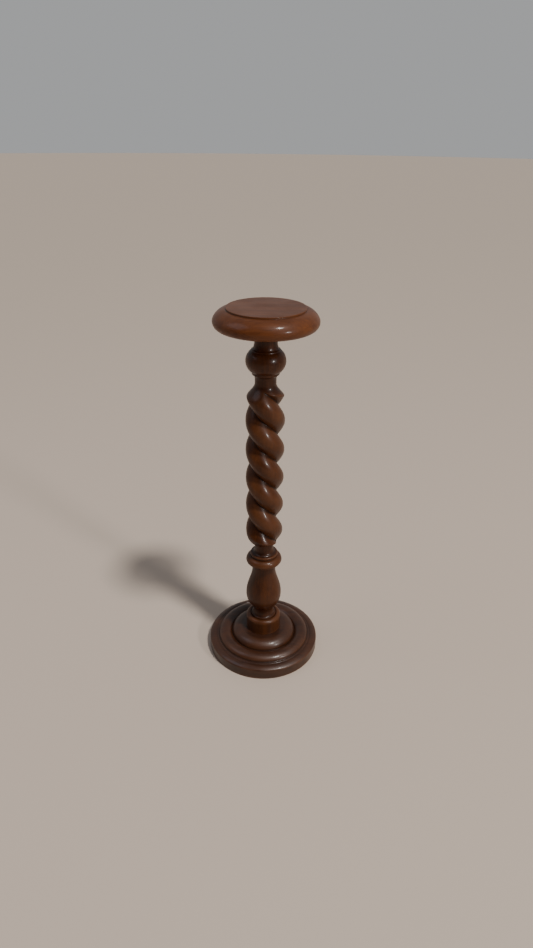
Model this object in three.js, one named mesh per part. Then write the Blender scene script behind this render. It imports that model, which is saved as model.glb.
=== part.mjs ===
// A wooden pedestal column: a round top and a round base, each turned from one disc,
// on a turned column whose shaft is carved as a two-strand rope twist.
// Millimetres, +Z up, with the origin on the floor in the middle of the base.
import * as THREE from "three";

// Overall sizes, with heights measured from the floor
const baseRadius = 149.5;
const bossHeight = 61;
const topUnderside = 907;
const totalHeight = 953;
const rimRadius = 119.4;

// Base mouldings, from the edge inwards
const baseSideHeight = 27.4;
const shoulder = { edge: 148.6, edgeHeight: 28.9, inner: 134, height: 34 };
const quirk = { outer: 132, middle: 130.6, inner: 129.2, depth: 1.2 };
const rollFoot = { radius: 124, height: 34 };
const rollRidge = { radius: 104, height: 48 };
const valley = { radius: 87, height: 40 };
const bossFlatRadius = 61;

// Foot collar and vase, from the base upwards
const collar = { radius: 46.6, side: 97, lip: 104.9, lipRadius: 37 };
const collarGroove = { radius: 33.6, height: 102.8 };
const flareEdge = { radius: 32.8, height: 106.4 };
const vaseFoot = { radius: 26.4, height: 120.2 };
const vaseHip = { radius: 28.4, height: 132.9 };
const vaseBelly = { radius: 47.2, height: 177 };
const vaseNeck = { radius: 30.7, low: 258, high: 267.6 };
const vaseFullness = 2.35;
const ringFillet = { radius: 31.9, height: 268.6 };

// Ring and button below the shaft
const ring = { inner: 33.8, outer: 46.9, bottom: 276.2, middle: 285.8, top: 299.2 };
const button = { radius: 35.6, low: 303, high: 305.6 };
const buttonCrown = { radius: 33.8, height: 308.8 };
const buttonGroove = { radius: 33.2, height: 300.8 };
const waist = { radius: 23.6, low: 322, high: 340.5 };

// Twisted shaft
const strands = 2;
const strandSpacing = 76.7;
const crestRadius = 47.2;
const hollowDepth = 18.3;
const hollowSharpness = 46.7;
const hollowHeightAtRight = 724.4;
const domeTop = 383;
const domeRoundness = 2.43;
const lowRunOut = 5;
const twistShoulder = 738;

// Upper neck, ball and the neck under the top
const upperNeck = { radius: 25.2, low: 778, high: 788 };
const ballFillet = { radius: 32.3, low: 801, high: 807.3 };
const ball = { core: 15.5, radius: 31.2, height: 831.6 };
const ballCrown = { radius: 34.2, filletRadius: 33.2, height: 859 };
const headNeck = { radius: 26.5, height: 877 };

// Top mouldings
const platformRadius = 89.3;
const platformStep = 4;
const rimHeight = 923;
const rimFullness = 1.75;
const undersideRadius = 104;

// Fineness of the facets
const discSides = 48;
const columnSides = 24;
const shortCurveSteps = 3;
const curveSteps = 4;
const bossSteps = 5;
const vaseSteps = 6;
const ballSteps = 8;
const twistRowHeight = 8;
const endRowHeight = 3.8;

// Wood colours and finish
const wood = { roughness: 0.32, metalness: 0 };
const topColour = 0x5b3526;
const columnColour = 0x41241a;
const baseColour = 0x3d231b;

const point = (radius, height) => new THREE.Vector2(radius, height);

// A quarter of an ellipse between two points of a profile. It leaves the first one
// upright or level, and reaches the second one the other way.
function quarter(from, to, leaves, steps = curveSteps) {
  const points = [];
  for (let i = 1; i <= steps; i++) {
    const angle = (i / steps) * (Math.PI / 2);
    const early = 1 - Math.cos(angle);
    const late = Math.sin(angle);
    const across = leaves === "upright" ? early : late;
    const along = leaves === "upright" ? late : early;
    points.push(point(
      THREE.MathUtils.lerp(from.x, to.x, across),
      THREE.MathUtils.lerp(from.y, to.y, along),
    ));
  }
  return points;
}

// A gently rounded slope between two points of a profile, level where it ends
function crown(from, to, steps) {
  const points = [];
  for (let i = 1; i <= steps; i++) {
    const share = i / steps;
    points.push(point(
      THREE.MathUtils.lerp(from.x, to.x, share),
      THREE.MathUtils.lerp(from.y, to.y, 1 - (1 - share) ** 2),
    ));
  }
  return points;
}

// An S-curve between two points of a profile, upright at both ends
function sCurve(from, to, steps) {
  const points = [];
  for (let i = 1; i <= steps; i++) {
    const share = i / steps;
    const across = (1 - Math.cos(Math.PI * share)) / 2;
    points.push(point(
      THREE.MathUtils.lerp(from.x, to.x, across),
      THREE.MathUtils.lerp(from.y, to.y, share),
    ));
  }
  return points;
}

// A convex moulding: an arc of an ellipse about a centre in the profile's plane
function bead(centre, reach, halfHeight, fromAngle, toAngle, steps) {
  const points = [];
  for (let i = 0; i <= steps; i++) {
    const angle = THREE.MathUtils.lerp(fromAngle, toAngle, i / steps);
    points.push(point(centre.x + reach * Math.cos(angle), centre.y + halfHeight * Math.sin(angle)));
  }
  return points;
}

// The turned base: side, rounded shoulder, quirk, roll, valley and boss
function baseProfile() {
  const edge = point(shoulder.edge, shoulder.edgeHeight);
  const foot = point(rollFoot.radius, rollFoot.height);
  const ridge = point(rollRidge.radius, rollRidge.height);
  const dip = point(valley.radius, valley.height);
  const innerSlope = [...crown(dip, ridge, shortCurveSteps).slice(0, -1).reverse(), dip];
  return [
    point(0, 0),
    point(baseRadius, 0),
    point(baseRadius, baseSideHeight),
    edge,
    ...crown(edge, point(shoulder.inner, shoulder.height), shortCurveSteps),
    point(quirk.outer, shoulder.height),
    point(quirk.middle, shoulder.height - quirk.depth),
    point(quirk.inner, shoulder.height),
    foot,
    ...quarter(foot, ridge, "upright"),
    ...innerSlope,
    ...quarter(dip, point(bossFlatRadius, bossHeight), "upright", bossSteps),
    point(0, bossHeight),
  ];
}

// The turned top: flat underside, bullnose rim and a raised round platform
function topProfile() {
  const rim = point(rimRadius, rimHeight);
  const rimTop = totalHeight - platformStep;
  const roll = [];
  const steps = 2 * curveSteps;
  for (let i = 1; i <= steps; i++) {
    const angle = (i / steps) * (Math.PI / 2);
    const across = Math.cos(angle) ** (2 / rimFullness);
    const along = Math.sin(angle) ** (2 / rimFullness);
    roll.push(point(
      platformRadius + (rimRadius - platformRadius) * across,
      rimHeight + (rimTop - rimHeight) * along,
    ));
  }
  return [
    point(0, topUnderside),
    point(undersideRadius, topUnderside),
    ...quarter(point(undersideRadius, topUnderside), rim, "level"),
    ...roll,
    point(platformRadius, totalHeight),
    point(0, totalHeight),
  ];
}

// The foot of the column: collar, lip, flare, vase and the fillet over it
function footProfile() {
  const side = point(collar.radius, collar.side);
  const foot = point(vaseFoot.radius, vaseFoot.height);
  const hip = point(vaseHip.radius, vaseHip.height);
  const vase = [];
  for (let i = 1; i <= vaseSteps; i++) {
    const share = i / vaseSteps;
    const fallen = (1 - share) ** vaseFullness;
    vase.push(point(
      vaseBelly.radius - (vaseBelly.radius - vaseHip.radius) * fallen,
      THREE.MathUtils.lerp(vaseHip.height, vaseBelly.height, share),
    ));
  }
  const belly = vase[vase.length - 1];
  return [
    point(0, bossHeight),
    point(collar.radius, bossHeight),
    side,
    ...quarter(side, point(collar.lipRadius, collar.lip), "upright"),
    point(collarGroove.radius, collarGroove.height),
    point(flareEdge.radius, flareEdge.height),
    ...quarter(point(flareEdge.radius, flareEdge.height), foot, "level", shortCurveSteps),
    ...quarter(foot, hip, "upright", shortCurveSteps),
    ...vase,
    ...sCurve(belly, point(vaseNeck.radius, vaseNeck.low), vaseSteps),
    point(vaseNeck.radius, vaseNeck.high),
    point(ringFillet.radius, ringFillet.height),
    point(ringFillet.radius, ring.bottom),
  ];
}

// The ring, the button on it and the waist below the twist
function ringProfile() {
  const underside = point(ring.inner, ring.bottom);
  const edge = point(ring.outer, ring.middle);
  const buttonTop = point(button.radius, button.high);
  const crown = point(buttonCrown.radius, buttonCrown.height);
  return [
    underside,
    ...quarter(underside, edge, "level"),
    ...quarter(edge, point(ring.inner, ring.top), "upright"),
    point(buttonGroove.radius, buttonGroove.height),
    point(button.radius, button.low),
    buttonTop,
    ...quarter(buttonTop, crown, "upright", shortCurveSteps),
    ...quarter(crown, point(waist.radius, waist.low), "level", shortCurveSteps),
  ];
}

// How far out the blank reaches before the strands are cut: a round dome at the
// bottom, a straight cylinder, and an S-curve in to the neck at the top
function blankRadius(height) {
  const dome = THREE.MathUtils.clamp((domeTop - height) / (domeTop - waist.high), 0, 1);
  const round = 1 - Math.sqrt(Math.max(1 - dome ** domeRoundness, 0));
  const rise = THREE.MathUtils.clamp(
    (height - twistShoulder) / (upperNeck.low - twistShoulder), 0, 1);
  const fall = (1 - Math.cos(Math.PI * rise)) / 2;
  return crestRadius
    - (crestRadius - waist.radius) * round
    - (crestRadius - upperNeck.radius) * fall;
}

// The rows of the shaft, closer together where the blank curves in at its ends
function shaftProfile() {
  const points = [];
  for (let height = waist.high; height < upperNeck.low;) {
    points.push(point(blankRadius(height), height));
    const nearEnd = height < domeTop - endRowHeight || height > twistShoulder - twistRowHeight;
    height += nearEnd ? endRowHeight : twistRowHeight;
  }
  points.push(point(upperNeck.radius, upperNeck.low));
  return points;
}

// Neck, ball and the neck that carries the top
function headProfile() {
  const neckHigh = point(upperNeck.radius, upperNeck.high);
  const crown = point(ballCrown.filletRadius, ballCrown.height);
  const ballStart = -Math.asin((ball.height - ballFillet.high) / ball.radius);
  const ballEnd = Math.acos((ballCrown.radius - ball.core) / ball.radius);
  return [
    neckHigh,
    ...quarter(neckHigh, point(ballFillet.radius, ballFillet.low), "upright"),
    point(ballFillet.radius, ballFillet.high),
    ...bead(point(ball.core, ball.height), ball.radius, ball.radius, ballStart, ballEnd, ballSteps),
    crown,
    ...quarter(crown, point(headNeck.radius, headNeck.height), "level"),
    point(headNeck.radius, topUnderside),
    point(0, topUnderside),
  ];
}

// Where a strand's crest stands at a height, as an angle from +X. The strands fall
// from left to right across the front.
function crestAngle(height) {
  const within = THREE.MathUtils.clamp(height, waist.high, upperNeck.low);
  return (Math.PI * (hollowHeightAtRight + strandSpacing / 2 - within)) / strandSpacing;
}

// How deep the hollow is beside a crest, from the turn away from it. The section is
// round over the crest and nearly straight down into the hollow.
function hollow(turn) {
  const span = (2 * Math.PI) / strands;
  const fromCrest = Math.abs(THREE.MathUtils.euclideanModulo(turn + span / 2, span) - span / 2);
  const across = (fromCrest / (span / 2)) * (strandSpacing / 2);
  const full = Math.hypot(1, strandSpacing / 2 / hollowSharpness) - 1;
  return (hollowDepth * (Math.hypot(1, across / hollowSharpness) - 1)) / full;
}

// How much of the hollow is cut at a height. It starts in a scoop at the bottom, and
// at the top it goes on until the shoulder curves in under it.
function cutShare(height) {
  const fromBottom = THREE.MathUtils.clamp((height - waist.high) / lowRunOut, 0, 1);
  return Math.sqrt(1 - (1 - fromBottom) ** 2);
}

// Turn a profile about +Z
function turned(profile, sides) {
  return new THREE.LatheGeometry(profile, sides).rotateX(Math.PI / 2);
}

// Carve the strands into the turned column: each point goes round with the strands,
// and in the shaft it moves in to the bottom of the cut
function carveTwist(geometry) {
  const position = geometry.attributes.position;
  for (let i = 0; i < position.count; i++) {
    const radius = Math.hypot(position.getX(i), position.getY(i));
    const height = position.getZ(i);
    const turn = Math.atan2(position.getY(i), position.getX(i));
    const inShaft = height > waist.high && height < upperNeck.low;
    const cut = crestRadius - hollow(turn) * cutShare(height);
    const carved = inShaft ? Math.min(radius, cut) : radius;
    const angle = turn + crestAngle(height);
    position.setXY(i, carved * Math.cos(angle), carved * Math.sin(angle));
  }
  geometry.computeVertexNormals();
  return geometry;
}

function piece(name, geometry, color) {
  const mesh = new THREE.Mesh(geometry, new THREE.MeshStandardMaterial({ color, ...wood }));
  mesh.name = name;
  return mesh;
}

const columnProfile = [
  ...footProfile(),
  ...ringProfile(),
  ...shaftProfile(),
  ...headProfile(),
];

const pedestal = new THREE.Group();
pedestal.add(piece("base", turned(baseProfile(), discSides), baseColour));
pedestal.add(piece("column", carveTwist(turned(columnProfile, columnSides)), columnColour));
pedestal.add(piece("top", turned(topProfile(), discSides), topColour));

export default pedestal;
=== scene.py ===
"""A turned wooden pedestal column with a rope-twist shaft, in stained and lacquered wood."""

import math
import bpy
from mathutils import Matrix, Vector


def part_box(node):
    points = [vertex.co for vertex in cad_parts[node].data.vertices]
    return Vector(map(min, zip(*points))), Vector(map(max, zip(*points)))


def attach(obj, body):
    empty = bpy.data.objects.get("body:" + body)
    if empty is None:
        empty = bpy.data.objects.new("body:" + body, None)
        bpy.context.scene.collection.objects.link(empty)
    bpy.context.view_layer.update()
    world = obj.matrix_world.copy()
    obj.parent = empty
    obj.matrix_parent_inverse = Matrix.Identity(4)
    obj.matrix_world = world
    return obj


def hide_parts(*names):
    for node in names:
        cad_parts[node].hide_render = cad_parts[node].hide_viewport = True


bl_info = {
    "name": "Rope-Twist Pedestal",
    "version": (1, 0, 0),
    "blender": (4, 5, 0),
    "location": "View3D > Sidebar > Pedestal",
    "description": "Turns the base and the top, carves the twisted column and stains them",
    "category": "Add Mesh",
}

import bmesh
import bpy
import numpy as np
from bpy.props import FloatProperty, FloatVectorProperty, IntProperty, PointerProperty
from bpy.types import Operator, Panel, PropertyGroup
from mathutils import Matrix, Vector

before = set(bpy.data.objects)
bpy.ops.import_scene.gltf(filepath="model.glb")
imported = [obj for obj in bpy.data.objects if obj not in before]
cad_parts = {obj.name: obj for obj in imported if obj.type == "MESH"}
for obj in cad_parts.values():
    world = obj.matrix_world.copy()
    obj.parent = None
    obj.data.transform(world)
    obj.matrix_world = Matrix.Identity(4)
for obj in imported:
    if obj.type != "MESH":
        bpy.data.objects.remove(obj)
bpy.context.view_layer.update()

base_low, base_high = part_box("base")
column_low, column_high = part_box("column")
top_low, top_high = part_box("top")

# Fineness of the meshes, in metres where it is a length
DISC_SIDES = 288
COLUMN_SIDES = 128
ROW_SPACING = 0.0017
FLAT_SPACING = 0.012
CORNER_TURN = math.radians(28)
CORNER_SEGMENTS = 3
RELIEF_PASSES = 26
RIM_ROWS = 40
FLOOR_SIDES = 96
ON_AXIS = 1e-6
SAME_PLACE = 1e-5
SENSOR_WIDTH = 36  # Width of the camera's sensor, in millimetres

# Relief in millimetres between which the edges are rubbed and the hollows are darkened, as painted
# shade together with stain gathered there
RUBBED_RELIEF = (0.15, 0.8)
CREASE_SHADE_RELIEF = (-0.08, -0.7)

# Fineness of the wood's patterns, in noise cells to a metre
FIGURE_SCALE = 42
STREAK_SCALE = 210
PORE_SCALE = 900
CLOUD_SCALE = 14
LINE_SCALE = 420
ALONG_GRAIN = 0.035


def length(name, description, default):
    """A size in metres."""
    return FloatProperty(
        name=name, description=description, default=default, min=0, precision=4, unit="LENGTH"
    )


def share(name, description, default):
    """A plain share from 0 to 1."""
    return FloatProperty(
        name=name, description=description, default=default, min=0, max=1, subtype="FACTOR"
    )


def colour(name, description, default):
    """A linear colour."""
    return FloatVectorProperty(
        name=name, description=description, default=default, size=3, min=0, max=1, subtype="COLOR"
    )


def place(name, description, default):
    """A place or direction, as x, y and z."""
    return FloatVectorProperty(name=name, description=description, default=default, size=3)


def amount(name, description, default):
    """A plain number that isn't negative."""
    return FloatProperty(name=name, description=description, default=default, min=0)


class BaseSettings(PropertyGroup):
    """Sizes of the moulded base, from the edge inwards."""

    radius: length("Radius", "Outer radius of the base", base_high.x)
    side_height: length("Side Height", "Height of the upright side", 0.0274)
    edge_radius: length("Edge Radius", "Radius of the shoulder's outer edge", 0.1486)
    edge_height: length("Edge Height", "Height of the shoulder's outer edge", 0.0289)
    shoulder_radius: length("Shoulder Radius", "Inner edge of the rounded shoulder", 0.134)
    shoulder_height: length("Shoulder Height", "Height of the rounded shoulder", 0.034)
    quirk_radius: length("Quirk Radius", "Radius of the fine groove on the base", 0.1306)
    quirk_width: length("Quirk Width", "Width of the fine groove on the base", 0.0028)
    quirk_depth: length("Quirk Depth", "Depth of the fine groove on the base", 0.0012)
    roll_foot: length("Roll Foot", "Radius at the outer foot of the roll", 0.124)
    ridge_radius: length("Ridge Radius", "Radius of the roll's ridge", 0.104)
    ridge_height: length("Ridge Height", "Height of the roll's ridge", 0.048)
    valley_radius: length("Valley Radius", "Radius of the valley", 0.087)
    valley_height: length("Valley Height", "Height of the bottom of the valley", 0.040)
    boss_flat: length("Boss Flat", "Radius of the boss's flat top", 0.061)
    boss_height: length("Boss Height", "Height of the boss", base_high.z)
    softness: length("Softness", "How far the sharp edges are rubbed round", 0.0009)


class FootSettings(PropertyGroup):
    """Sizes of the column's foot: collar, vase and the fillet over it."""

    collar_radius: length("Collar Radius", "Radius of the collar on the base", 0.0466)
    collar_side: length("Collar Side", "Height at which the collar starts to round", 0.097)
    lip_radius: length("Lip Radius", "Radius of the collar's lip", 0.037)
    lip_height: length("Lip Height", "Height of the collar's lip", 0.1049)
    groove_radius: length("Groove Radius", "Radius at the bottom of the groove", 0.0336)
    groove_height: length("Groove Height", "Height of the bottom of the groove", 0.1028)
    flare_radius: length("Flare Radius", "Radius of the flare's edge", 0.0328)
    flare_height: length("Flare Height", "Height of the flare's edge", 0.1064)
    vase_foot: length("Vase Foot", "Radius of the vase at its foot", 0.0264)
    vase_foot_height: length("Vase Foot Height", "Height of the vase's foot", 0.1202)
    hip_radius: length("Vase Hip", "Radius where the vase swells out of its foot", 0.0284)
    hip_height: length("Vase Hip Height", "Height where the vase swells out", 0.1329)
    belly_radius: length("Belly Radius", "Radius of the vase at its widest", 0.0472)
    belly_height: length("Belly Height", "Height of the vase's widest place", 0.177)
    neck_radius: length("Vase Neck", "Radius of the vase's neck", 0.0307)
    neck_low: length("Vase Neck Low", "Lower end of the vase's neck", 0.258)
    neck_high: length("Vase Neck High", "Upper end of the vase's neck", 0.2676)
    fillet_radius: length("Fillet Radius", "Radius of the fillet under the ring", 0.0319)
    fillet_height: length("Fillet Height", "Lower edge of the fillet", 0.2686)
    fullness: amount("Fullness", "How full the vase is under its belly", 2.35)
    softness: length("Softness", "How far the column's sharp edges are rubbed round", 0.0005)


class RingSettings(PropertyGroup):
    """Sizes of the ring, its button and the waist below the twist."""

    inner: length("Ring Inner", "Inner radius of the ring", 0.0338)
    outer: length("Ring Outer", "Outer radius of the ring", 0.0469)
    bottom: length("Ring Bottom", "Height of the ring's underside", 0.2762)
    middle: length("Ring Middle", "Height of the ring's widest place", 0.2858)
    top: length("Ring Top", "Height of the ring's upper side", 0.2992)
    groove_radius: length("Groove Radius", "Radius of the groove on the ring", 0.0332)
    groove_height: length("Groove Height", "Height of the groove on the ring", 0.3008)
    button_radius: length("Button Radius", "Radius of the button", 0.0356)
    button_low: length("Button Low", "Lower edge of the button", 0.303)
    button_high: length("Button High", "Upper edge of the button's side", 0.3056)
    crown_radius: length("Crown Radius", "Radius where the button's crown starts", 0.0338)
    crown_height: length("Crown Height", "Height where the button's crown starts", 0.3088)
    waist_radius: length("Waist Radius", "Radius of the waist", 0.0236)
    waist_low: length("Waist Low", "Height of the waist's lower end", 0.322)


class TwistSettings(PropertyGroup):
    """Sizes of the rope-twist shaft."""

    strands: IntProperty(name="Strands", description="Number of strands", default=2, min=1)
    spacing: length("Strand Spacing", "Height from one strand to the next", 0.0767)
    crest_radius: length("Crest Radius", "Radius over the strands", 0.0472)
    hollow_depth: length("Hollow Depth", "Depth of the hollows between the strands", 0.0183)
    sharpness: length("Hollow Sharpness", "How round the strands are", 0.0467)
    hollow_height: length("Hollow Height", "Height of a hollow on the +X side", 0.7244)
    low: length("Twist Low", "Height of the twist's lower end", 0.3405)
    dome_top: length("Dome Top", "Height where the round lower end starts", 0.383)
    dome_roundness: amount("Dome Roundness", "How round the lower end is", 2.43)
    low_run_out: length("Low Run-Out", "Height over which the hollows start", 0.005)
    shoulder: length("Shoulder", "Height where the twist starts to curve in", 0.738)
    high: length("Twist High", "Height where the twist reaches the neck", 0.778)
    blend: length("Blend", "How softly the cuts meet the blank", 0.0010)


class HeadSettings(PropertyGroup):
    """Sizes of the neck and the ball between the twist and the top."""

    neck_radius: length("Neck Radius", "Radius of the neck under the ball", 0.0252)
    neck_high: length("Neck High", "Upper end of the neck", 0.788)
    fillet_radius: length("Fillet Radius", "Radius of the fillet under the ball", 0.0323)
    fillet_low: length("Fillet Low", "Lower edge of the fillet", 0.801)
    fillet_high: length("Fillet High", "Upper edge of the fillet", 0.8073)
    ball_core: length("Ball Core", "Radius of the centre line of the ball's curve", 0.0155)
    ball_reach: length("Ball Reach", "Radius of the ball's curve", 0.0312)
    ball_height: length("Ball Height", "Height of the ball's widest place", 0.8316)
    crown_radius: length("Crown Radius", "Radius of the ball's upper edge", 0.0342)
    crown_fillet: length("Crown Fillet", "Radius of the fillet on the ball", 0.0332)
    crown_height: length("Crown Height", "Height of the fillet on the ball", 0.859)
    top_neck: length("Top Neck", "Radius of the neck under the top", 0.0265)
    top_neck_height: length("Top Neck Height", "Height where the top neck is straight", 0.877)


class TopSettings(PropertyGroup):
    """Sizes of the round top."""

    rim_radius: length("Rim Radius", "Radius of the rim", top_high.x)
    rim_height: length("Rim Height", "Height of the rim's widest place", 0.923)
    rim_fullness: amount("Rim Fullness", "How full the rim's upper curve is", 1.75)
    underside_radius: length("Underside Radius", "Radius of the flat underside", 0.104)
    platform_radius: length("Platform Radius", "Radius of the raised platform", 0.0893)
    platform_step: length("Platform Step", "Height of the platform over the rim", 0.004)
    centre_mark: length("Centre Mark", "Radius of the lathe's centre mark", 0.0022)
    centre_depth: length("Centre Depth", "Depth of the lathe's centre mark", 0.0004)
    softness: length("Softness", "How far the platform's edge is rubbed round", 0.0011)


class WoodSettings(PropertyGroup):
    """Colours and gloss of the stained wood."""

    top_light: colour("Top Light", "Stain on the top's open grain", (0.145, 0.045, 0.012))
    top_dark: colour("Top Dark", "Stain on the top's dense grain", (0.064, 0.017, 0.0045))
    column_light: colour("Column Light", "Stain on the column's open grain", (0.072, 0.0200, 0.0040))
    column_dark: colour("Column Dark", "Stain on the column's dense grain", (0.020, 0.0046, 0.0011))
    base_light: colour("Base Light", "Stain on the base's open grain", (0.058, 0.0175, 0.0045))
    base_dark: colour("Base Dark", "Stain on the base's dense grain", (0.018, 0.0047, 0.0014))
    # groove also darkens the hollows in the shader, as painted shade together with stain gathered
    # there; on the pores it is the grain's own dark
    groove: colour("Groove", "Stain gathered in the grooves", (0.008, 0.003, 0.0015))
    rubbed: colour("Rubbed Edge", "Stain where the edges are rubbed", (0.150, 0.055, 0.020))
    roughness: share("Roughness", "Roughness of the stained surface", 0.40)
    top_sheen: share("Top Sheen", "How strongly the top's surface reflects", 0.15)
    column_sheen: share("Column Sheen", "How strongly the column's surface reflects", 0.17)
    base_sheen: share("Base Sheen", "How strongly the base's surface reflects", 0.36)
    lacquer: share("Lacquer", "Strength of the lacquer over the stain", 0.18)
    lacquer_roughness: share("Lacquer Roughness", "Roughness of the lacquer", 0.15)
    turning: amount("Turning Lines", "Depth of the lathe's fine lines beside the grain", 2.0)
    bump: share("Bump", "How strongly the grain and the lines show in the gloss", 0.22)
    bump_depth: length("Bump Depth", "Depth of the grain and the lines", 0.0004)


class StudioSettings(PropertyGroup):
    """The camera, the lights and the floor."""

    camera_distance: length("Camera Distance", "How far the camera stands in front", 1.4305)
    camera_side: length("Camera Side", "How far the camera stands to the right", 0.0044)
    camera_height: length("Camera Height", "Height of the camera over the floor", 1.3122)
    camera_pitch: FloatProperty(
        name="Camera Pitch", description="How far the camera looks down",
        default=math.radians(28.37), subtype="ANGLE",
    )
    camera_roll: FloatProperty(
        name="Camera Roll", description="How far the camera is turned about its view",
        default=math.radians(0.63), subtype="ANGLE",
    )
    lens: amount("Lens", "Focal length on a 36 mm sensor, in millimetres", 24.95)
    floor_radius: length("Floor Radius", "Radius of the floor", 30)
    floor_roughness: share("Floor Roughness", "Roughness of the floor", 0.7)
    floor_colour: colour("Floor", "Colour of the floor", (0.50, 0.41, 0.335))
    sun_direction: place("Sun Direction", "Where the far light comes from", (1.11, -1.0, 2.8))
    sun_spread: FloatProperty(
        name="Sun Spread", description="How wide the far light is", default=math.radians(7),
        subtype="ANGLE",
    )
    sun_strength: amount("Sun Strength", "Strength of the far light", 2.5)
    sun_tint: colour("Sun Tint", "Colour of the far light", (1.0, 0.97, 0.93))
    window_place: place("Window Place", "Place of the small bright light", (3.94, -3.55, 2.9))
    window_size: length("Window Size", "Width of the small bright light", 0.6)
    window_power: amount("Window Power", "Power of the small bright light", 140)
    window_tint: colour("Window Tint", "Colour of the small bright light", (1.0, 0.98, 0.96))
    side_place: place("Side Place", "Place of the cool light on the left", (-1.9, -0.26, 2.85))
    side_size: length("Side Size", "Width of the cool light", 1.6)
    side_power: amount("Side Power", "Power of the cool light", 13)
    side_tint: colour("Side Tint", "Colour of the cool light", (0.84, 0.86, 1.0))
    light_target: place("Light Target", "Place that the near lights face", (0, 0, 0.6))
    air_behind: colour("Air Behind", "Colour of the air behind the column", (0.38, 0.385, 0.39))
    air_before: colour("Air Before", "Colour of the air in front", (0.075, 0.075, 0.085))
    air_range: FloatVectorProperty(
        name="Air Range", description="Depths on the unit sphere between which the air changes",
        default=(-0.6, 0.3), size=2,
    )


def blend_between(start, end, part):
    """The value at a part of the way from start to end."""
    return start + (end - start) * part


def limit(value, low=0.0, high=1.0):
    """The value, kept between two limits."""
    return max(low, min(high, value))


class Outline:
    """A half section drawn from point to point, as (radius, height) in metres."""

    def __init__(self, radius, height):
        self.points = [(radius, height)]

    def line(self, radius, height):
        """Draw straight to a point."""
        self.points.append((radius, height))
        return self

    def _curve(self, radius, height, ease):
        """Rows up to a point, with ease giving how far across and up each one is."""
        start = self.points[-1]
        span = math.hypot(radius - start[0], height - start[1])
        steps = max(5, math.ceil(span * 1.2 / ROW_SPACING))
        for step in range(1, steps + 1):
            across, up = ease(step / steps)
            self.line(blend_between(start[0], radius, across), blend_between(start[1], height, up))
        return self

    def quarter(self, radius, height, leaves):
        """A quarter of an ellipse, which leaves upright or level and arrives the other way."""
        def ease(part):
            early = 1 - math.cos(part * math.pi / 2)
            late = math.sin(part * math.pi / 2)
            return (early, late) if leaves == "upright" else (late, early)
        return self._curve(radius, height, ease)

    def crown(self, radius, height):
        """A gently rounded slope, level where it ends."""
        return self._curve(radius, height, lambda part: (part, 1 - (1 - part) ** 2))

    def drop(self, radius, height):
        """A gently rounded slope, level where it starts."""
        return self._curve(radius, height, lambda part: (part, part ** 2))

    def s_curve(self, radius, height):
        """An S-curve that is upright at both ends."""
        return self._curve(
            radius, height, lambda part: ((1 - math.cos(math.pi * part)) / 2, part)
        )

    def bead(self, core, height, reach, half_height, start, end):
        """An arc of an ellipse about a centre in the section, between two angles."""
        steps = max(6, math.ceil(abs(end - start) * reach / ROW_SPACING))
        for step in range(steps + 1):
            angle = blend_between(start, end, step / steps)
            self.line(core + reach * math.cos(angle), height + half_height * math.sin(angle))
        return self


def is_corner(vert):
    """Whether a section turns sharply at a point that lies off the axis."""
    if len(vert.link_edges) != 2 or vert.co.x < ON_AXIS:
        return False
    before, after = (edge.other_vert(vert).co - vert.co for edge in vert.link_edges)
    return math.pi - before.angle(after) > CORNER_TURN


def turn(outline, sides, softness):
    """Turn a section about the axis, with its corners rubbed round, as a closed mesh."""
    bm = bmesh.new()
    verts = [bm.verts.new((radius, 0, height)) for radius, height in outline.points]
    for first, second in zip(verts, verts[1:]):
        bm.edges.new((first, second))
    bmesh.ops.remove_doubles(bm, verts=bm.verts[:], dist=SAME_PLACE)
    bmesh.ops.bevel(
        bm, geom=[vert for vert in bm.verts if is_corner(vert)], offset=softness,
        offset_type="OFFSET", segments=CORNER_SEGMENTS, profile=0.5, affect="VERTICES",
        clamp_overlap=True, material=-1,
    )
    for edge in bm.edges[:]:
        on_axis = min(vert.co.x for vert in edge.verts) < ON_AXIS
        cuts = math.ceil(edge.calc_length() / (FLAT_SPACING if on_axis else ROW_SPACING)) - 1
        if cuts > 0:
            bmesh.ops.subdivide_edges(bm, edges=[edge], cuts=cuts)
    bmesh.ops.spin(
        bm, geom=bm.verts[:] + bm.edges[:], cent=(0, 0, 0), axis=(0, 0, 1), dvec=(0, 0, 0),
        angle=2 * math.pi, steps=sides, use_merge=True, use_duplicate=False,
    )
    bmesh.ops.remove_doubles(bm, verts=bm.verts[:], dist=SAME_PLACE)
    bmesh.ops.recalc_face_normals(bm, faces=bm.faces[:])
    return bm


def store_relief(mesh):
    """Store how far each point stands proud of the smoothed surface, in millimetres."""
    count = len(mesh.vertices)
    places = np.empty(count * 3, np.float32)
    mesh.vertices.foreach_get("co", places)
    places = places.reshape(count, 3).astype(np.float64)
    normals = np.empty(count * 3, np.float32)
    mesh.vertices.foreach_get("normal", normals)
    ends = np.empty(len(mesh.edges) * 2, np.int32)
    mesh.edges.foreach_get("vertices", ends)
    first, second = ends.reshape(-1, 2).T
    links = np.bincount(first, minlength=count) + np.bincount(second, minlength=count)
    smooth = places.copy()
    for _ in range(RELIEF_PASSES):
        total = np.stack([
            np.bincount(first, smooth[second, axis], count)
            + np.bincount(second, smooth[first, axis], count)
            for axis in range(3)
        ], axis=1)
        smooth = (smooth + total / links[:, None]) / 2
    proud = ((places - smooth) * normals.reshape(count, 3)).sum(axis=1) * 1000
    relief = mesh.attributes.new("relief", "FLOAT", "POINT")
    relief.data.foreach_set("value", proud.astype(np.float32))


def finish_piece(name, bm, node, material):
    """Make the piece an object that rides on the body and stands for its node."""
    mesh = bpy.data.meshes.new(name)
    bm.to_mesh(mesh)
    bm.free()
    mesh.polygons.foreach_set("use_smooth", [True] * len(mesh.polygons))
    store_relief(mesh)
    mesh.materials.append(material)
    piece = bpy.data.objects.new(name, mesh)
    bpy.context.collection.objects.link(piece)
    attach(piece, "root")
    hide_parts(node)
    return piece


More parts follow.
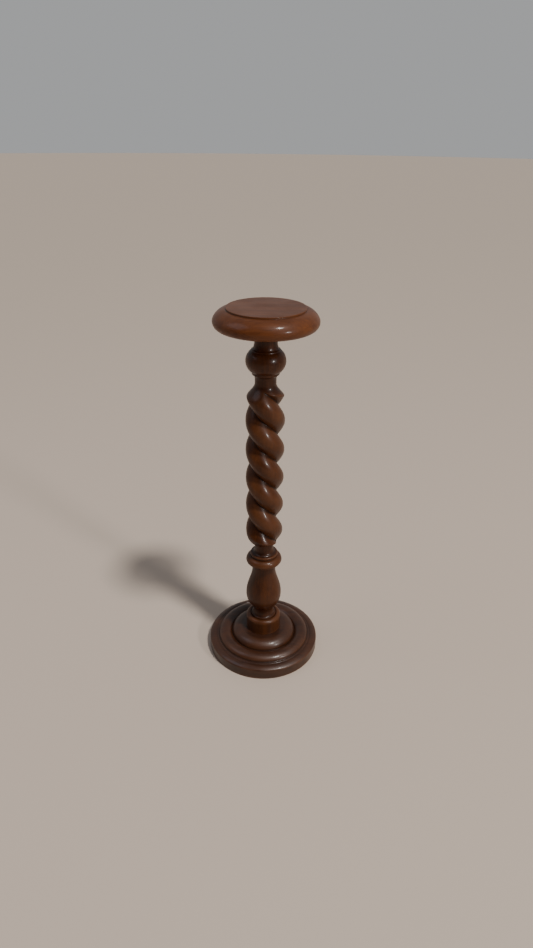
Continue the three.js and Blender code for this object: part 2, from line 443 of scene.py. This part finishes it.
def add_node(tree, kind, inputs=None, **settings):
    """Add a shader node, set its options and its plain inputs."""
    node = tree.nodes.new(kind)
    for key, value in settings.items():
        setattr(node, key, value)
    for key, value in (inputs or {}).items():
        node.inputs[key].default_value = value
    return node


def mapped_noise(tree, coordinates, stretch, scale, detail, roughness, offset=(0, 0, 0)):
    """Noise on object coordinates that are stretched along the grain."""
    mapping = add_node(tree, "ShaderNodeMapping", {"Scale": stretch, "Location": offset})
    tree.links.new(coordinates, mapping.inputs["Vector"])
    noise = add_node(
        tree, "ShaderNodeTexNoise", {"Scale": scale, "Detail": detail, "Roughness": roughness}
    )
    tree.links.new(mapping.outputs[0], noise.inputs["Vector"])
    return noise.outputs["Fac"]


def ranged(tree, value, low, high, to_low=0.0, to_high=1.0):
    """A value spread from one range to another, and kept inside it."""
    node = add_node(
        tree, "ShaderNodeMapRange",
        {"From Min": low, "From Max": high, "To Min": to_low, "To Max": to_high}, clamp=True,
    )
    tree.links.new(value, node.inputs["Value"])
    return node.outputs["Result"]


def combine(tree, operation, first, second):
    """Two values put together by a plain sum, product or the like."""
    node = add_node(tree, "ShaderNodeMath", operation=operation)
    for socket, value in zip(node.inputs, (first, second)):
        if isinstance(value, (int, float)):
            socket.default_value = value
        else:
            tree.links.new(value, socket)
    return node.outputs[0]


def mix_colours(tree, part, first, second):
    """Two colours mixed by a part that varies over the surface."""
    node = add_node(tree, "ShaderNodeMix", data_type="RGBA")
    factor, colour_a, colour_b = (node.inputs[index] for index in (0, 6, 7))
    for socket, value in ((factor, part), (colour_a, first), (colour_b, second)):
        if isinstance(value, bpy.types.NodeSocket):
            tree.links.new(value, socket)
        else:
            socket.default_value = (*value, 1)
    return node.outputs[2]


def turning_lines(tree, coordinates):
    """Fine rings about the axis, as noise on the distance from it."""
    flat = add_node(tree, "ShaderNodeVectorMath", {1: (1, 1, 0)}, operation="MULTIPLY")
    tree.links.new(coordinates, flat.inputs[0])
    radius = add_node(tree, "ShaderNodeVectorMath", operation="LENGTH")
    tree.links.new(flat.outputs[0], radius.inputs[0])
    lines = add_node(
        tree, "ShaderNodeTexNoise", {"Scale": LINE_SCALE, "Detail": 2, "Roughness": 0.5},
        noise_dimensions="1D",
    )
    tree.links.new(radius.outputs["Value"], lines.inputs["W"])
    return lines.outputs["Fac"]


def stained_wood(name, light, dark, grain, sheen, turned):
    """Dark stained wood under lacquer. The grain runs along an axis, and turned says
    whether the lathe's lines show."""
    wood = bpy.context.scene.pedestal_wood
    material = bpy.data.materials.new(name)
    material.use_nodes = True
    tree = material.node_tree
    shader = tree.nodes["Principled BSDF"]
    coordinates = add_node(tree, "ShaderNodeTexCoord").outputs["Object"]

    along = [ALONG_GRAIN if axis == grain else 1.0 for axis in "XYZ"]
    figure = mapped_noise(tree, coordinates, along, FIGURE_SCALE, 3, 0.5)
    streaks = mapped_noise(tree, coordinates, along, STREAK_SCALE, 5, 0.62, (3, 1, 2))
    pores = mapped_noise(tree, coordinates, along, PORE_SCALE, 2, 0.5, (7, 5, 6))
    cloud = mapped_noise(tree, coordinates, (1, 1, 1), CLOUD_SCALE, 3, 0.5, (2, 9, 4))

    tone = combine(
        tree, "ADD",
        combine(tree, "MULTIPLY", ranged(tree, figure, 0.32, 0.68), 0.5),
        combine(tree, "MULTIPLY", ranged(tree, streaks, 0.32, 0.68), 0.5),
    )
    stain = mix_colours(tree, tone, dark, light)
    stain = mix_colours(tree, ranged(tree, cloud, 0.35, 0.7, 0.0, 0.35), stain, dark)
    pore = ranged(tree, pores, 0.56, 0.68, 0.0, 0.45)
    stain = mix_colours(tree, pore, stain, wood.groove)

    relief = add_node(tree, "ShaderNodeAttribute", attribute_name="relief").outputs["Fac"]
    proud = ranged(tree, relief, *RUBBED_RELIEF, 0.0, 0.35)
    edge = combine(tree, "MULTIPLY", proud, ranged(tree, cloud, 0.3, 0.6))
    stain = mix_colours(tree, edge, stain, wood.rubbed)
    # Painted shade: hollows found by the relief are darkened towards the groove colour, together
    # with stain gathered there
    deep = ranged(tree, relief, *CREASE_SHADE_RELIEF, 0.0, 0.8)
    stain = mix_colours(tree, deep, stain, wood.groove)
    tree.links.new(stain, shader.inputs["Base Color"])

    rough = ranged(tree, cloud, 0.3, 0.7, wood.roughness - 0.06, wood.roughness + 0.08)
    tree.links.new(rough, shader.inputs["Roughness"])
    shader.inputs["Specular IOR Level"].default_value = sheen
    shader.inputs["Coat Weight"].default_value = wood.lacquer
    shader.inputs["Coat Roughness"].default_value = wood.lacquer_roughness

    bump = add_node(
        tree, "ShaderNodeBump", {"Strength": wood.bump, "Distance": wood.bump_depth}
    )
    height = combine(tree, "ADD", streaks, pores)
    if turned:
        lines = combine(tree, "MULTIPLY", turning_lines(tree, coordinates), wood.turning)
        height = combine(tree, "ADD", height, lines)
    tree.links.new(height, bump.inputs["Height"])
    tree.links.new(bump.outputs[0], shader.inputs["Normal"])
    return material


def base_outline(size):
    """The base: side, rounded shoulder, fine groove, roll, valley and boss."""
    outline = Outline(0, 0).line(size.radius, 0).line(size.radius, size.side_height)
    outline.line(size.edge_radius, size.edge_height)
    outline.crown(size.shoulder_radius, size.shoulder_height)
    outline.line(size.quirk_radius + size.quirk_width / 2, size.shoulder_height)
    outline.line(size.quirk_radius, size.shoulder_height - size.quirk_depth)
    outline.line(size.quirk_radius - size.quirk_width / 2, size.shoulder_height)
    outline.line(size.roll_foot, size.shoulder_height)
    outline.quarter(size.ridge_radius, size.ridge_height, "upright")
    outline.drop(size.valley_radius, size.valley_height)
    outline.quarter(size.boss_flat, size.boss_height, "upright")
    return outline.line(0, size.boss_height)


def draw_foot(outline, size):
    """The collar, its lip and groove, the flare, the vase and the fillet."""
    outline.line(size.collar_radius, base_high.z).line(size.collar_radius, size.collar_side)
    outline.quarter(size.lip_radius, size.lip_height, "upright")
    outline.line(size.groove_radius, size.groove_height)
    outline.line(size.flare_radius, size.flare_height)
    outline.quarter(size.vase_foot, size.vase_foot_height, "level")
    outline.quarter(size.hip_radius, size.hip_height, "upright")
    rows = math.ceil((size.belly_height - size.hip_height) / ROW_SPACING)
    for row in range(1, rows + 1):
        part = row / rows
        fallen = (1 - part) ** size.fullness
        outline.line(
            size.belly_radius - (size.belly_radius - size.hip_radius) * fallen,
            blend_between(size.hip_height, size.belly_height, part),
        )
    outline.s_curve(size.neck_radius, size.neck_low)
    outline.line(size.neck_radius, size.neck_high)
    outline.line(size.fillet_radius, size.fillet_height)


def draw_ring(outline, size, twist):
    """The ring, the groove on it, the button and the waist."""
    outline.line(outline.points[-1][0], size.bottom).line(size.inner, size.bottom)
    outline.quarter(size.outer, size.middle, "level").quarter(size.inner, size.top, "upright")
    outline.line(size.groove_radius, size.groove_height)
    outline.line(size.button_radius, size.button_low).line(size.button_radius, size.button_high)
    outline.quarter(size.crown_radius, size.crown_height, "upright")
    outline.quarter(size.waist_radius, size.waist_low, "level")
    outline.line(size.waist_radius, twist.low)


def blank_radius(size, waist_radius, height):
    """How far out the blank's round lower end and its straight part reach."""
    dome = limit((size.dome_top - height) / (size.dome_top - size.low))
    round_off = 1 - math.sqrt(max(1 - dome ** size.dome_roundness, 0))
    return size.crest_radius - (size.crest_radius - waist_radius) * round_off


def draw_shaft(outline, size, waist_radius, neck_radius):
    """The blank of the shaft, in rows for the carving, and its shoulder in to the neck."""
    rows = math.ceil((size.shoulder - size.low) / ROW_SPACING)
    for row in range(1, rows + 1):
        height = blend_between(size.low, size.shoulder, row / rows)
        outline.line(blank_radius(size, waist_radius, height), height)
    outline.s_curve(neck_radius, size.high)


def draw_head(outline, size):
    """The neck, the ball and the neck under the top."""
    outline.line(size.neck_radius, size.neck_high)
    outline.quarter(size.fillet_radius, size.fillet_low, "upright")
    outline.line(size.fillet_radius, size.fillet_high)
    start = -math.asin((size.ball_height - size.fillet_high) / size.ball_reach)
    end = math.acos((size.crown_radius - size.ball_core) / size.ball_reach)
    outline.bead(
        size.ball_core, size.ball_height, size.ball_reach, size.ball_reach, start, end
    )
    outline.line(size.crown_fillet, size.crown_height)
    outline.quarter(size.top_neck, size.top_neck_height, "level")
    outline.line(size.top_neck, top_low.z).line(0, top_low.z)


def crest_angle(size, height):
    """Where a strand's crest stands at a height, as an angle from +X."""
    within = limit(height, size.low, size.high)
    return math.pi * (size.hollow_height + size.spacing / 2 - within) / size.spacing


def hollow_depth(size, turned):
    """How deep the hollow is beside a crest, from the turn away from it."""
    span = 2 * math.pi / size.strands
    from_crest = abs((turned + span / 2) % span - span / 2)
    across = from_crest / (span / 2) * size.spacing / 2
    full = math.hypot(1, size.spacing / 2 / size.sharpness) - 1
    return size.hollow_depth * (math.hypot(1, across / size.sharpness) - 1) / full


def cut_share(size, height):
    """How much of the hollow is cut at a height, with a scoop at the bottom."""
    from_bottom = limit((height - size.low) / size.low_run_out)
    return math.sqrt(1 - (1 - from_bottom) ** 2)


def soft_lower(first, second, blend):
    """The lower of two values, eased where they are close."""
    close = limit(0.5 + (second - first) / (2 * blend))
    return blend_between(second, first, close) - blend * close * (1 - close)


def carve_strands(bm, size):
    """Move the turned points round with the strands, and into the hollows."""
    for vert in bm.verts:
        radius = math.hypot(vert.co.x, vert.co.y)
        turned = math.atan2(vert.co.y, vert.co.x)
        height = vert.co.z
        if size.low < height < size.high:
            cut = size.crest_radius - hollow_depth(size, turned) * cut_share(size, height)
            radius = soft_lower(radius, cut, size.blend)
        angle = turned + crest_angle(size, height)
        vert.co.x = radius * math.cos(angle)
        vert.co.y = radius * math.sin(angle)


def top_outline(size):
    """The top: flat underside, bullnose rim, and the raised platform."""
    rim_top = top_high.z - size.platform_step
    outline = Outline(0, top_low.z).line(size.underside_radius, top_low.z)
    outline.quarter(size.rim_radius, size.rim_height, "level")
    for step in range(1, RIM_ROWS + 1):
        angle = step / RIM_ROWS * math.pi / 2
        across = math.cos(angle) ** (2 / size.rim_fullness)
        along = math.sin(angle) ** (2 / size.rim_fullness)
        outline.line(
            size.platform_radius + (size.rim_radius - size.platform_radius) * across,
            size.rim_height + (rim_top - size.rim_height) * along,
        )
    outline.line(size.platform_radius, top_high.z)
    outline.line(size.centre_mark, top_high.z)
    return outline.line(0, top_high.z - size.centre_depth)


class PEDESTAL_OT_turn_base(Operator):
    """Turn the moulded base"""

    bl_idname = "pedestal.turn_base"
    bl_label = "Turn Base"

    def execute(self, context):
        size = context.scene.pedestal_base
        wood = context.scene.pedestal_wood
        bm = turn(base_outline(size), DISC_SIDES, size.softness)
        material = stained_wood(
            "base_wood", wood.base_light, wood.base_dark, "X", wood.base_sheen, True
        )
        finish_piece("turned_base", bm, "base", material)
        return {"FINISHED"}


class PEDESTAL_OT_carve_column(Operator):
    """Turn the column and carve its two strands"""

    bl_idname = "pedestal.carve_column"
    bl_label = "Carve Column"

    def execute(self, context):
        scene = context.scene
        ring, twist = scene.pedestal_ring, scene.pedestal_twist
        outline = Outline(0, base_high.z)
        draw_foot(outline, scene.pedestal_foot)
        draw_ring(outline, ring, twist)
        draw_shaft(outline, twist, ring.waist_radius, scene.pedestal_head.neck_radius)
        draw_head(outline, scene.pedestal_head)
        bm = turn(outline, COLUMN_SIDES, scene.pedestal_foot.softness)
        carve_strands(bm, twist)
        wood = scene.pedestal_wood
        material = stained_wood(
            "column_wood", wood.column_light, wood.column_dark, "Z", wood.column_sheen, False
        )
        finish_piece("carved_column", bm, "column", material)
        return {"FINISHED"}


class PEDESTAL_OT_turn_top(Operator):
    """Turn the round top with its platform"""

    bl_idname = "pedestal.turn_top"
    bl_label = "Turn Top"

    def execute(self, context):
        size = context.scene.pedestal_top
        wood = context.scene.pedestal_wood
        bm = turn(top_outline(size), DISC_SIDES, size.softness)
        material = stained_wood(
            "top_wood", wood.top_light, wood.top_dark, "X", wood.top_sheen, False
        )
        finish_piece("turned_top", bm, "top", material)
        return {"FINISHED"}


def add_floor(studio):
    """A plain pale floor."""
    bm = bmesh.new()
    bmesh.ops.create_circle(bm, cap_ends=True, segments=FLOOR_SIDES, radius=studio.floor_radius)
    mesh = bpy.data.meshes.new("floor")
    bm.to_mesh(mesh)
    bm.free()
    material = bpy.data.materials.new("floor")
    material.use_nodes = True
    shader = material.node_tree.nodes["Principled BSDF"]
    shader.inputs["Base Color"].default_value = (*studio.floor_colour, 1)
    shader.inputs["Roughness"].default_value = studio.floor_roughness
    mesh.materials.append(material)
    floor = bpy.data.objects.new("floor", mesh)
    bpy.context.collection.objects.link(floor)


def add_area_light(name, spot, target, size, power, tint):
    """A square soft light that faces a point."""
    data = bpy.data.lights.new(name, "AREA")
    data.size = size
    data.energy = power
    data.color = tint
    light = bpy.data.objects.new(name, data)
    light.location = spot
    facing = Vector(target) - Vector(spot)
    light.rotation_euler = facing.to_track_quat("-Z", "Y").to_euler()
    bpy.context.collection.objects.link(light)


def add_sun(name, direction, spread, strength, tint):
    """A soft light from far away, which lights the whole floor alike."""
    data = bpy.data.lights.new(name, "SUN")
    data.angle = spread
    data.energy = strength
    data.color = tint
    light = bpy.data.objects.new(name, data)
    light.rotation_euler = Vector(direction).to_track_quat("Z", "Y").to_euler()
    bpy.context.collection.objects.link(light)


def add_camera(studio):
    """The camera in front of the column, looking down on it."""
    data = bpy.data.cameras.new("camera")
    data.lens = studio.lens
    data.sensor_width = SENSOR_WIDTH
    camera = bpy.data.objects.new("camera", data)
    spot = Matrix.Translation((studio.camera_side, -studio.camera_distance, studio.camera_height))
    look = Matrix.Rotation(math.pi / 2 - studio.camera_pitch, 4, "X")
    camera.matrix_world = spot @ look @ Matrix.Rotation(studio.camera_roll, 4, "Z")
    bpy.context.collection.objects.link(camera)
    bpy.context.scene.camera = camera


class PEDESTAL_OT_set_stage(Operator):
    """Set the floor, the lights and the camera"""

    bl_idname = "pedestal.set_stage"
    bl_label = "Set Stage"

    def execute(self, context):
        studio = context.scene.pedestal_studio
        add_floor(studio)
        add_sun(
            "sun", studio.sun_direction, studio.sun_spread, studio.sun_strength, studio.sun_tint
        )
        for name in ("window", "side"):
            spot, size, power, tint = (
                getattr(studio, f"{name}_{part}") for part in ("place", "size", "power", "tint")
            )
            add_area_light(name, spot, studio.light_target, size, power, tint)
        world = bpy.data.worlds.new("surroundings")
        world.use_nodes = True
        tree = world.node_tree
        direction = add_node(tree, "ShaderNodeTexCoord").outputs["Generated"]
        parts = add_node(tree, "ShaderNodeSeparateXYZ")
        tree.links.new(direction, parts.inputs[0])
        backwards = ranged(tree, parts.outputs["Y"], *studio.air_range)
        air = mix_colours(tree, backwards, studio.air_before, studio.air_behind)
        tree.links.new(air, tree.nodes["Background"].inputs["Color"])
        context.scene.world = world
        add_camera(studio)
        return {"FINISHED"}


SETTINGS = {
    "pedestal_base": BaseSettings,
    "pedestal_foot": FootSettings,
    "pedestal_ring": RingSettings,
    "pedestal_twist": TwistSettings,
    "pedestal_head": HeadSettings,
    "pedestal_top": TopSettings,
    "pedestal_wood": WoodSettings,
    "pedestal_studio": StudioSettings,
}

OPERATORS = (
    PEDESTAL_OT_turn_base,
    PEDESTAL_OT_carve_column,
    PEDESTAL_OT_turn_top,
    PEDESTAL_OT_set_stage,
)


class PEDESTAL_PT_panel(Panel):
    """The pedestal's steps and sizes"""

    bl_idname = "PEDESTAL_PT_panel"
    bl_label = "Pedestal"
    bl_space_type = "VIEW_3D"
    bl_region_type = "UI"
    bl_category = "Pedestal"

    def draw(self, context):
        for operator in OPERATORS:
            self.layout.operator(operator.bl_idname)
        for name, group in SETTINGS.items():
            box = self.layout.box()
            box.label(text=group.__doc__)
            settings = getattr(context.scene, name)
            for key in group.__annotations__:
                box.prop(settings, key)


def register():
    """Register the settings, the operators and the panel."""
    for name, group in SETTINGS.items():
        bpy.utils.register_class(group)
        setattr(bpy.types.Scene, name, PointerProperty(type=group))
    for operator in OPERATORS:
        bpy.utils.register_class(operator)
    bpy.utils.register_class(PEDESTAL_PT_panel)


def unregister():
    """Remove the panel, the operators and the settings."""
    bpy.utils.unregister_class(PEDESTAL_PT_panel)
    for operator in reversed(OPERATORS):
        bpy.utils.unregister_class(operator)
    for name, group in reversed(SETTINGS.items()):
        delattr(bpy.types.Scene, name)
        bpy.utils.unregister_class(group)


def main():
    """Make every piece and the stage."""
    register()
    bpy.ops.pedestal.turn_base()
    bpy.ops.pedestal.carve_column()
    bpy.ops.pedestal.turn_top()
    bpy.ops.pedestal.set_stage()


if __name__ == "__main__":
    main()
